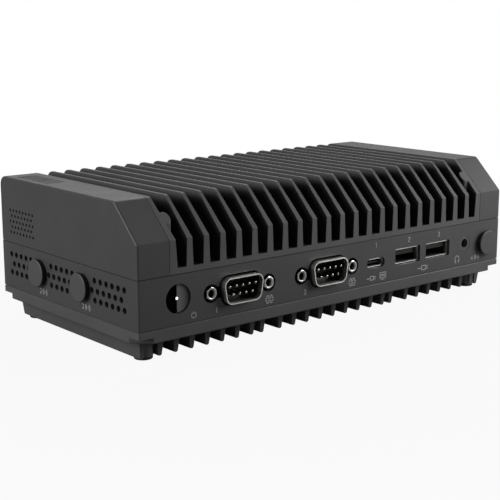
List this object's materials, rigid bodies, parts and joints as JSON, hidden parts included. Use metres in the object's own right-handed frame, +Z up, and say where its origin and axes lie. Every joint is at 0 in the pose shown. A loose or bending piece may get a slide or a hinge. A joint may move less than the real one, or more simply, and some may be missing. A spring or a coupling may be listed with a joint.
{
  "type": "mini pc",
  "caption": "Fanless finned mini computer with end caps, a band of front and rear ports, removable antenna-hole plugs, a push power button and a finned base on rubber feet.",
  "frame": {"origin": "on the surface the feet stand on, midway between the case's sides and between its front and back faces", "axes": "+Z up, -Y out of the front face with the power button, +X to the right when facing the front"},
  "size_m": [0.181, 0.0939, 0.0532],
  "materials": {
    "lid_aluminium": "satin powder coat, fine texture",
    "tray_aluminium": "satin powder coat, fine texture",
    "case_plastic": "fine matte texture",
    "badge": "satin",
    "foot_rubber": "matte",
    "screw_steel": "zinc plated",
    "jackscrew_steel": "bright nickel",
    "button_plastic": "satin",
    "light_pipe": "clear, lit white",
    "switch_plastic": "matte",
    "shell_metal": "bright nickel plate",
    "insulator_plastic": "matte",
    "contact_metal": "gold plated",
    "socket_plastic": "matte",
    "plug_rubber": "matte",
    "board_laminate": "solder mask",
    "chip_black": "matte",
    "copper": "machined copper",
    "pad_silicone": "soft pad",
    "capacitor_metal": "satin",
    "speaker_plastic": "matte"
  },
  "bodies": {
    "case": {"top_heatsink": "lid_aluminium", "bottom_tray": "tray_aluminium", "left_end_cap": "case_plastic", "right_end_cap": "case_plastic", "mid_frame": "case_plastic", "badge_plate": "badge", "rubber_feet": "foot_rubber", "tray_screws": "screw_steel", "lid_screws": "screw_steel", "cap_screws": "screw_steel", "board_screws": "screw_steel", "ssd_spacer": "screw_steel", "serial_jackscrews": "jackscrew_steel", "power_switch_body": "switch_plastic", "usb_c_riser": "switch_plastic", "coin_cell_holder": "switch_plastic", "serial_1_shell": "shell_metal", "serial_2_shell": "shell_metal", "usb_a_1_shell": "shell_metal", "usb_a_2_shell": "shell_metal", "usb_c_shell": "shell_metal", "video_port_shell": "shell_metal", "serial_1_insulator": "insulator_plastic", "serial_2_insulator": "insulator_plastic", "usb_a_1_tongue": "insulator_plastic", "usb_a_2_tongue": "insulator_plastic", "usb_c_tongue": "insulator_plastic", "video_port_tongue": "insulator_plastic", "serial_1_pins": "contact_metal", "serial_2_pins": "contact_metal", "lan_1_contacts": "contact_metal", "lan_2_contacts": "contact_metal", "dc_jack_pin": "contact_metal", "headset_jack": "socket_plastic", "dc_jack_housing": "socket_plastic", "lan_1_housing": "socket_plastic", "lan_2_housing": "socket_plastic", "memory_socket": "socket_plastic", "ssd_socket": "socket_plastic", "wireless_socket": "socket_plastic", "main_board": "board_laminate", "memory_module": "board_laminate", "ssd_module": "board_laminate", "wireless_card": "board_laminate", "processor": "chip_black", "board_inductors": "chip_black", "copper_spreader": "copper", "thermal_pad": "pad_silicone", "board_capacitors": "capacitor_metal", "coin_cell": "capacitor_metal", "speaker_frame": "speaker_plastic", "speaker_cone": "speaker_plastic"},
    "power_button": {"power_button": "button_plastic", "power_light_pipe": "light_pipe", "power_switch_plunger": "switch_plastic"},
    "plug_left_front": {"antenna_plug_left_front": "plug_rubber"},
    "plug_left_back": {"antenna_plug_left_back": "plug_rubber"},
    "plug_front": {"antenna_plug_front": "plug_rubber"},
    "plug_back": {"antenna_plug_back": "plug_rubber"}
  },
  "joints": [
    {"name": "power_button_press", "type": "slide", "parent": "case", "child": "power_button", "axis": [0, 1, 0], "range_m": [0, 0.0006], "stiffness_N_per_m": 2500},
    {"name": "plug_left_front_pull", "type": "slide", "parent": "case", "child": "plug_left_front", "axis": [-1, 0, 0], "range_m": [0, 0.012]},
    {"name": "plug_left_back_pull", "type": "slide", "parent": "case", "child": "plug_left_back", "axis": [-1, 0, 0], "range_m": [0, 0.012]},
    {"name": "plug_front_pull", "type": "slide", "parent": "case", "child": "plug_front", "axis": [0, -1, 0], "range_m": [0, 0.012]},
    {"name": "plug_back_pull", "type": "slide", "parent": "case", "child": "plug_back", "axis": [0, 1, 0], "range_m": [0, 0.012]}
  ]
}
